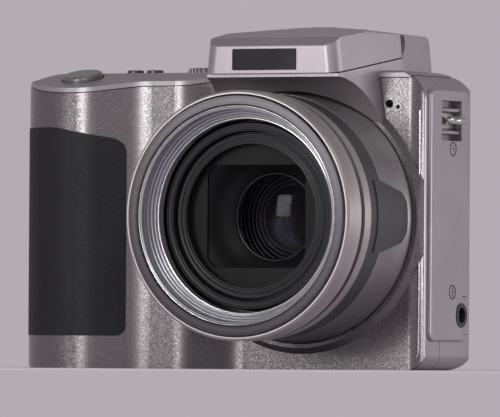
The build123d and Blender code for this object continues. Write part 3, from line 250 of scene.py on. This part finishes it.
def turned_metal(name, colour, rough, lines, depth, turn=0.4, metal=0.95, pitch=0.0, ridge=0.0):
    """A surface turned about the lens axis: fine rings run round it, and ridges where a pitch is given."""
    made = Nodes(name)
    split = made.add("ShaderNodeSeparateXYZ")
    made.join(made.place, "Object", split, "Vector")
    height = made.add("ShaderNodeMath", operation="SUBTRACT")
    height.inputs[1].default_value = LENS_HEIGHT
    made.join(split, "Z", height, 0)
    flat = made.add("ShaderNodeCombineXYZ")
    made.join(split, "X", flat, "X")
    made.join(height, "Value", flat, "Y")
    radius = made.add("ShaderNodeVectorMath", operation="LENGTH")
    made.join(flat, "Vector", radius, 0)
    along = made.add("ShaderNodeCombineXYZ")
    made.join(radius, "Value", along, "X")
    made.join(split, "Y", along, "Y")
    noise = made.add("ShaderNodeTexNoise")
    noise.inputs["Scale"].default_value = lines
    noise.inputs["Detail"].default_value = TURNING_DETAIL
    made.join(along, "Vector", noise, "Vector")
    made.drift(noise, colour, TURNED_SHADES, start=0.35, end=0.65)
    made.gloss(noise, "Fac", rough, TURNED_WANDER)
    turning = made.bump(noise, "Fac", depth, TURNING_HEIGHT)
    if pitch:
        total = made.add("ShaderNodeMath", operation="ADD")
        made.join(radius, "Value", total, 0)
        made.join(split, "Y", total, 1)
        wave = made.add("ShaderNodeMath", operation="MULTIPLY")
        wave.inputs[1].default_value = math.tau / pitch
        made.join(total, "Value", wave, 0)
        crest = made.add("ShaderNodeMath", operation="SINE")
        made.join(wave, "Value", crest, 0)
        ridges = made.add("ShaderNodeBump")
        ridges.inputs["Strength"].default_value = 1.0
        ridges.inputs["Distance"].default_value = ridge
        made.join(crest, "Value", ridges, "Height")
        made.join(ridges, "Normal", turning, "Normal")
    made.set(Metallic=metal, Anisotropic=turn)
    return made.material


def bare_metal(name, colour, rough, scratch=(1, 14, 1)):
    """Bright metal with fine drawn lines and faint smudges."""
    made = Nodes(name)
    lines = made.texture("ShaderNodeTexNoise", SCRATCH_SCALE, scratch)
    made.drift(made.texture("ShaderNodeTexNoise", SMUDGE_SCALE), colour, METAL_SHADES)
    made.gloss(lines, "Fac", rough, METAL_WANDER)
    made.bump(lines, "Fac", SCRATCH_STRENGTH, TURNING_HEIGHT)
    made.set(Metallic=1.0)
    return made.material


def glass(name, colour, rough=0.02, coat=(0.62, 0.55, 0.85)):
    """Coated optical glass: clear, with a faint tinted sheen that drifts a little."""
    made = Nodes(name)
    film = made.texture("ShaderNodeTexNoise", GLASS_SCALE)
    made.drift(film, colour, GLASS_SHADES)
    made.gloss(film, "Fac", rough, GLASS_WANDER)
    made.set(Transmission_Weight=1.0, IOR=1.1, Specular_IOR_Level=0.5, Coat_Weight=0.08, Coat_Roughness=0.02)
    made.shader.inputs["Coat Tint"].default_value = (*coat, 1)
    return made.material


def paint(material, *names):
    for name in names:
        piece = nodes[name]
        piece.data.materials.clear()
        piece.data.materials.append(material)


paint(flake_paint("sparkle_silver", (0.185, 0.170, 0.172), rough=0.33, metal=0.90, sparkle=0.10, cell=0.14 * MM),
      "front_shell")
paint(plain_paint("satin_silver", (0.330, 0.300, 0.312), rough=0.40, metal=0.62, coat=0.05, grain=3400, depth=0.05),
      "top_cover", "flash_head", "side_plate", "middle_shell", "rear_shell", "base_plate", "battery_door")
paint(rubber("grip_rubber", (0.0085, 0.0080, 0.0090), rough=0.60, pebble=2400, depth=0.30),
      "grip_pad", "eyecup")
paint(turned_metal("gunmetal", (0.078, 0.073, 0.078), rough=0.24, lines=2500, depth=0.05, turn=0.7),
      "front_ring", "cam_ring")
paint(turned_metal("pale_metal", (0.40, 0.405, 0.425), rough=0.36, lines=4200, depth=0.12,
                   pitch=0.75 * MM, ridge=0.10 * MM),
      "thread_ring")
paint(turned_metal("champagne", (0.40, 0.368, 0.360), rough=0.38, lines=2200, depth=0.04, metal=0.7),
      "ring_sleeve", "barrel_band")
paint(plain_paint("charcoal", (0.034, 0.032, 0.034), rough=0.42),
      "badge_ring")
paint(turned_metal("satin_skirt", (0.31, 0.288, 0.292), rough=0.40, lines=1800, depth=0.05, metal=0.8),
      "lens_skirt")
paint(plain_paint("black_plastic", (0.012, 0.012, 0.013), rough=0.48),
      "lens_chassis", "screen_module", "finder_housing", "finder_display", "joystick_gimbal", "battery_box",
      "battery_latch", "dc_jack")
paint(plain_paint("matt_black", (0.0035, 0.0035, 0.0038), rough=0.62, shine=0.25),
      "lens_mask", "shutter_unit", "focus_cell")
paint(turned_metal("black_barrel", (0.0035, 0.0035, 0.004), rough=0.45, lines=2600, depth=0.05, turn=0.0, metal=0.0,
                   pitch=0.9 * MM, ridge=0.08 * MM),
      "zoom_barrel_outer", "zoom_barrel_inner")
paint(glass("front_glass", (0.70, 0.71, 0.76)),
      "front_lens", "middle_lens", "focus_lens")
paint(glass("finder_glass", (0.80, 0.84, 0.84), coat=(0.5, 0.7, 0.6)),
      "eyepiece_lens")
paint(glass("clear_plastic", (0.88, 0.86, 0.84), rough=0.16, coat=(1, 1, 1)),
      "flash_window", "self_timer_lamp")
paint(plain_paint("button_grey", (0.17, 0.162, 0.16), rough=0.30, metal=0.5, coat=0.3),
      "shutter_button", "zoom_rocker", "menu_button", "review_button", "delete_button", "share_button",
      "joystick_cap", "mode_dial")
paint(plain_paint("button_dark", (0.05, 0.048, 0.048), rough=0.35, metal=0.2, coat=0.3),
      "flash_mode_button", "focus_mode_button")
paint(plain_paint("screen_cover", (0.008, 0.008, 0.010), rough=0.10, coat=0.8),
      "screen_window")
paint(bare_metal("bright_metal", (0.60, 0.57, 0.54), rough=0.24),
      "case_screws", "strap_lugs", "flash_reflector", "flash_hinge_pin", "card_slot", "tripod_socket", "image_sensor")
paint(bare_metal("dark_chrome", (0.020, 0.019, 0.021), rough=0.20, scratch=(14, 1, 1)),
      "badge_blank")
paint(bare_metal("grommet_metal", (0.22, 0.205, 0.205), rough=0.30),
      "microphone")
paint(plain_paint("board_green", (0.015, 0.09, 0.035), rough=0.45),
      "main_board")
paint(plain_paint("cell_wrap", (0.05, 0.05, 0.06), rough=0.28, metal=0.6, coat=0.4),
      "battery_cells")
paint(plain_paint("card_blue", (0.015, 0.03, 0.10), rough=0.4),
      "memory_card")
# Bare metals for the thin wires: bright_edge also makes the painted highlight along the front panel, and dark_edge
# makes the painted shade round the screw heads.
bright_edge = bare_metal("bright_edge", (0.62, 0.59, 0.60), rough=0.22)
dark_edge = bare_metal("dark_edge", (0.045, 0.043, 0.048), rough=0.30)

TUBE_SIDES = 6
RING_STEPS = 96
SHADE_RING_STEPS = 40


def add_tube(name, points, radius, body, material, closed=False):
    """A thin round wire through the points, which rides on a body; it makes trim lines and painted highlight and
    shade lines.
    """
    data = bpy.data.curves.new(name, "CURVE")
    data.dimensions = "3D"
    data.bevel_depth = radius
    data.bevel_resolution = TUBE_SIDES
    spline = data.splines.new("POLY")
    spline.points.add(len(points) - 1)
    for point, place in zip(spline.points, points):
        point.co = (*place, 1)
    spline.use_cyclic_u = closed
    data.materials.append(material)
    piece = bpy.data.objects.new(name, data)
    bpy.context.collection.objects.link(piece)
    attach(piece, body)


def circle_points(centre, radius, first, second, count):
    steps = [math.tau * index / count for index in range(count)]
    return [centre + (first * math.cos(angle) + second * math.sin(angle)) * radius for angle in steps]


def add_lens_line(name, radius, y, thick, body, material):
    """A ring of round wire about the lens axis."""
    centre = Vector((0, y, LENS_HEIGHT))
    add_tube(name, circle_points(centre, radius, ACROSS, UP, RING_STEPS), thick, body, material, closed=True)


# The edges of the front ring and the black bezel behind its thread
RIM_INSET = 0.42 * MM
RIM_OUTER_BACK = 0.38 * MM
RIM_OUTER_WIRE = 0.16 * MM
RIM_INNER_RADIUS = 24.25 * MM
RIM_INNER_BACK = 0.42 * MM
RIM_INNER_WIRE = 0.14 * MM
BEZEL_RADIUS = 21.72 * MM
BEZEL_BACK = 4.85 * MM
BEZEL_WIRE = 0.24 * MM
# The front edges of the two zoom barrels and the seat of the front lens
OUTER_BARREL_RADIUS = 19.0 * MM
INNER_BARREL_RADIUS = 17.0 * MM
BARREL_LINE_BACK = 0.02 * MM
BARREL_LINE_WIRE = 0.12 * MM
GLASS_RIM_INSET = 0.25 * MM
GLASS_RIM_BACK = 2.0 * MM
GLASS_RIM_WIRE = 0.22 * MM


def lens_lines():
    """The bright and dark edges of the rings, the barrels and the front lens."""
    ring_low, ring_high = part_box("front_ring")
    front = ring_low[1]
    add_lens_line("ring_rim_outer", ring_high[0] - RIM_INSET, front + RIM_OUTER_BACK, RIM_OUTER_WIRE, "body",
                  bright_edge)
    add_lens_line("ring_rim_inner", RIM_INNER_RADIUS, front + RIM_INNER_BACK, RIM_INNER_WIRE, "body", bright_edge)
    add_lens_line("bezel_line", BEZEL_RADIUS, front + BEZEL_BACK, BEZEL_WIRE, "body", bright_edge)
    outer_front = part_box("zoom_barrel_outer")[0][1]
    inner_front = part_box("zoom_barrel_inner")[0][1]
    add_lens_line("outer_barrel_line", OUTER_BARREL_RADIUS, outer_front + BARREL_LINE_BACK, BARREL_LINE_WIRE,
                  "zoom_outer", dark_edge)
    add_lens_line("inner_barrel_line", INNER_BARREL_RADIUS, inner_front + BARREL_LINE_BACK, BARREL_LINE_WIRE,
                  "zoom_inner", dark_edge)
    glass_low, glass_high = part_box("front_lens")
    add_lens_line("glass_rim", glass_high[0] - GLASS_RIM_INSET, glass_low[1] + GLASS_RIM_BACK, GLASS_RIM_WIRE,
                  "zoom_inner", dark_edge)


# Painted shade: a dark ring round each screw head in the side plate, where the recess lies in shade.
SCREW_HEIGHTS = (49.7 * MM, 17.6 * MM)
SCREW_Y = 0.9 * MM
SCREW_SHADE_RADIUS = 1.5 * MM
SCREW_SHADE_WIRE = 0.14 * MM
SCREW_SHADE_SINK = 0.02 * MM


def screw_shade_rings():
    """A dark wire ring round each screw head in the side plate: painted shade in the recess round the head."""
    plate_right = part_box("side_plate")[1][0]
    for index, height in enumerate(SCREW_HEIGHTS):
        centre = Vector((plate_right - SCREW_SHADE_SINK, SCREW_Y, height))
        rim = circle_points(centre, SCREW_SHADE_RADIUS, BACK, UP, SHADE_RING_STEPS)
        add_tube(f"screw_shade_ring_{index}", rim, SCREW_SHADE_WIRE, "body", dark_edge, closed=True)


STRAP_BAR_HEIGHTS = (58.4 * MM, 53.4 * MM)
STRAP_BAR_ENDS = (-4.9 * MM, 5.1 * MM)
STRAP_BAR_INSET = 0.9 * MM
STRAP_BAR_RADIUS = 0.55 * MM


def strap_bars():
    """The two polished bars that close the strap lug's recess above and below the loop."""
    plate_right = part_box("side_plate")[1][0]
    for index, height in enumerate(STRAP_BAR_HEIGHTS):
        ends = [Vector((plate_right - STRAP_BAR_INSET, y, height)) for y in STRAP_BAR_ENDS]
        add_tube(f"strap_bar_{index}", ends, STRAP_BAR_RADIUS, "body", bright_edge)


# The rounding of the body's lower rear edge: its radius, and how far back its centre lies
REAR_ROUND = 8.6 * MM
REAR_ROUND_CENTRE = 5.4 * MM
WELD_DISTANCE = 0.001 * MM


def trim_door():
    """The battery door, cut off along the rounded lower rear edge of the body, which its flat rim stands out of."""
    data = nodes["battery_door"].data.copy()
    top = max(vertex.co.z for vertex in data.vertices)
    reach = math.sqrt(REAR_ROUND ** 2 - (REAR_ROUND - top) ** 2)
    mesh = bmesh.new()
    mesh.from_mesh(data)
    bmesh.ops.remove_doubles(mesh, verts=mesh.verts[:], dist=WELD_DISTANCE)
    for face in mesh.faces:
        face.smooth = False
    cut = bmesh.ops.bisect_plane(
        mesh, geom=mesh.verts[:] + mesh.edges[:] + mesh.faces[:], plane_co=(0, REAR_ROUND_CENTRE, 0),
        plane_no=(0, top, -reach), clear_outer=True)
    rim = [item for item in cut["geom_cut"] if isinstance(item, bmesh.types.BMEdge)]
    bmesh.ops.triangle_fill(mesh, edges=rim, use_beauty=True)
    bmesh.ops.recalc_face_normals(mesh, faces=mesh.faces[:])
    mesh.to_mesh(data)
    mesh.free()
    piece = bpy.data.objects.new("battery_door_trimmed", data)
    bpy.context.collection.objects.link(piece)
    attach(piece, "battery_door")
    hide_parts("battery_door")


# A painted highlight: a bright wire along the front panel's right and bottom edges, where the rounded edge catches
# the light.
GLINT_INSET = 0.75 * MM
GLINT_FRONT = -13.25 * MM
GLINT_TURN = 3.5 * MM
GLINT_LOW = 0.95 * MM
GLINT_TOP = 58 * MM
GLINT_END = 4 * MM
GLINT_WIRE = 0.16 * MM
GLINT_STEPS = 8


def panel_edge_glint():
    """A bright metal wire along the right and bottom edges of the front panel: a painted highlight on the panel's
    rounded edge.
    """
    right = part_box("front_shell")[1][0] - GLINT_INSET
    points = [Vector((right, GLINT_FRONT, GLINT_TOP)), Vector((right, GLINT_FRONT, GLINT_LOW + GLINT_TURN))]
    for step in range(1, GLINT_STEPS + 1):
        angle = step / GLINT_STEPS * math.pi / 2
        points.append(Vector((
            right - GLINT_TURN * (1 - math.cos(angle)),
            GLINT_FRONT,
            GLINT_LOW + GLINT_TURN * (1 - math.sin(angle)),
        )))
    points.append(Vector((GLINT_END, GLINT_FRONT, GLINT_LOW)))
    add_tube("panel_edge_glint", points, GLINT_WIRE, "body", bright_edge)


def camera_place():
    flat = math.cos(VIEW_ELEVATION) * VIEW_DISTANCE
    return VIEW_TARGET + Vector((
        math.sin(VIEW_AZIMUTH) * flat,
        -math.cos(VIEW_AZIMUTH) * flat,
        math.sin(VIEW_ELEVATION) * VIEW_DISTANCE,
    ))


def facing(place, target):
    """The turn of a camera or lamp at the place that looks at the target."""
    return (target - place).to_track_quat("-Z", "Y")


def add_camera():
    data = bpy.data.cameras.new("view")
    data.sensor_width = SENSOR
    data.lens = PIXELS_PER_METRE * VIEW_DISTANCE * SENSOR / IMAGE_WIDTH
    data.clip_start = CLIP_START
    camera = bpy.data.objects.new("view", data)
    camera.location = camera_place()
    level = facing(camera.location, VIEW_TARGET).to_matrix()
    camera.rotation_euler = (level @ Matrix.Rotation(VIEW_ROLL, 3, "Z")).to_euler()
    bpy.context.collection.objects.link(camera)
    bpy.context.scene.camera = camera


def add_lamp(name, place, size, power):
    data = bpy.data.lights.new(name, "AREA")
    data.shape = "RECTANGLE"
    data.size, data.size_y = size
    data.energy = power
    lamp = bpy.data.objects.new(name, data)
    lamp.location = place
    lamp.rotation_euler = facing(lamp.location, LAMP_TARGET).to_euler()
    bpy.context.collection.objects.link(lamp)


def add_floor():
    """Pale paper that shows the shadow near the object, and that the camera sees as the backdrop further off."""
    mesh = bpy.data.meshes.new("floor")
    corners = [(-FLOOR_HALF, -FLOOR_HALF, 0), (FLOOR_HALF, -FLOOR_HALF, 0),
               (FLOOR_HALF, FLOOR_HALF, 0), (-FLOOR_HALF, FLOOR_HALF, 0)]
    mesh.from_pydata(corners, [], [(0, 1, 2, 3)])
    floor = bpy.data.objects.new("floor", mesh)
    bpy.context.collection.objects.link(floor)
    made = Nodes("floor_paper")
    made.drift(made.texture("ShaderNodeTexNoise", FLOOR_SCALE), BACKDROP[:3], FLOOR_SHADES)
    made.set(Roughness=0.9, Specular_IOR_Level=0.05)
    path = made.add("ShaderNodeLightPath")
    glow = made.add("ShaderNodeEmission")
    glow.inputs["Color"].default_value = BACKDROP
    away = made.add("ShaderNodeVectorMath", operation="LENGTH")
    made.join(made.place, "Object", away, 0)
    far = made.add("ShaderNodeMapRange")
    far.inputs["From Min"].default_value = POOL_START
    far.inputs["From Max"].default_value = POOL_END
    far.inputs["To Min"].default_value = POOL_GLOW
    made.join(away, "Value", far, "Value")
    share = made.add("ShaderNodeMath", operation="MULTIPLY")
    made.join(far, "Result", share, 1)
    made.join(path, "Is Camera Ray", share, 0)
    mix = made.add("ShaderNodeMixShader")
    made.join(share, "Value", mix, "Fac")
    made.join(made.shader, "BSDF", mix, 1)
    made.join(glow, "Emission", mix, 2)
    made.join(mix, "Shader", made.output, "Surface")
    mesh.materials.append(made.material)


def add_world():
    """A soft even sky for the light, and the backdrop for what the camera, gloss and glass see."""
    world = bpy.data.worlds.new("studio")
    bpy.context.scene.world = world
    world.use_nodes = True
    tree = world.node_tree
    tree.nodes.clear()
    join = tree.links.new
    output = tree.nodes.new("ShaderNodeOutputWorld")
    light = tree.nodes.new("ShaderNodeBackground")
    light.inputs["Color"].default_value = SKY_TINT
    light.inputs["Strength"].default_value = SKY_STRENGTH
    seen = tree.nodes.new("ShaderNodeBackground")
    seen.inputs["Color"].default_value = BACKDROP
    place = tree.nodes.new("ShaderNodeTexCoord")
    split = tree.nodes.new("ShaderNodeSeparateXYZ")
    ceiling = tree.nodes.new("ShaderNodeMapRange")
    ceiling.inputs["From Min"].default_value = CEILING_START
    ceiling.inputs["From Max"].default_value = CEILING_END
    ceiling.inputs["To Min"].default_value = 1.0
    ceiling.inputs["To Max"].default_value = CEILING_GLOW
    join(place.outputs["Generated"], split.inputs[0])
    join(split.outputs["Z"], ceiling.inputs["Value"])
    join(ceiling.outputs["Result"], seen.inputs["Strength"])
    path = tree.nodes.new("ShaderNodeLightPath")
    shows = tree.nodes.new("ShaderNodeMath")
    shows.operation = "MAXIMUM"
    both = tree.nodes.new("ShaderNodeMath")
    both.operation = "MAXIMUM"
    mix = tree.nodes.new("ShaderNodeMixShader")
    join(path.outputs["Is Camera Ray"], shows.inputs[0])
    join(path.outputs["Is Glossy Ray"], shows.inputs[1])
    join(shows.outputs[0], both.inputs[0])
    join(path.outputs["Is Transmission Ray"], both.inputs[1])
    join(both.outputs[0], mix.inputs["Fac"])
    join(light.outputs[0], mix.inputs[1])
    join(seen.outputs[0], mix.inputs[2])
    join(mix.outputs[0], output.inputs["Surface"])


def add_lamps():
    """Soft lamps to the left, above and to the right of the view, and one overhead."""
    near = Vector((math.sin(VIEW_AZIMUTH), -math.cos(VIEW_AZIMUTH), 0))
    right = Vector((math.cos(VIEW_AZIMUTH), math.sin(VIEW_AZIMUTH), 0))
    add_lamp("key", near * 0.48 - right * 0.42 + UP * 0.16, size=(0.16, 0.22), power=1.5)
    add_lamp("front", near * 0.66 + UP * 0.46, size=(0.30, 0.20), power=1.3)
    add_lamp("right", near * 0.10 + right * 0.80 + UP * 0.06, size=(0.55, 0.10), power=2.3)
    add_lamp("top", BACK * 0.1 + UP * 0.9, size=(0.8, 0.8), power=0.4)


lens_lines()
trim_door()
screw_shade_rings()
strap_bars()
panel_edge_glint()
add_camera()
add_floor()
add_world()
add_lamps()
bpy.context.scene.view_settings.view_transform = "Standard"
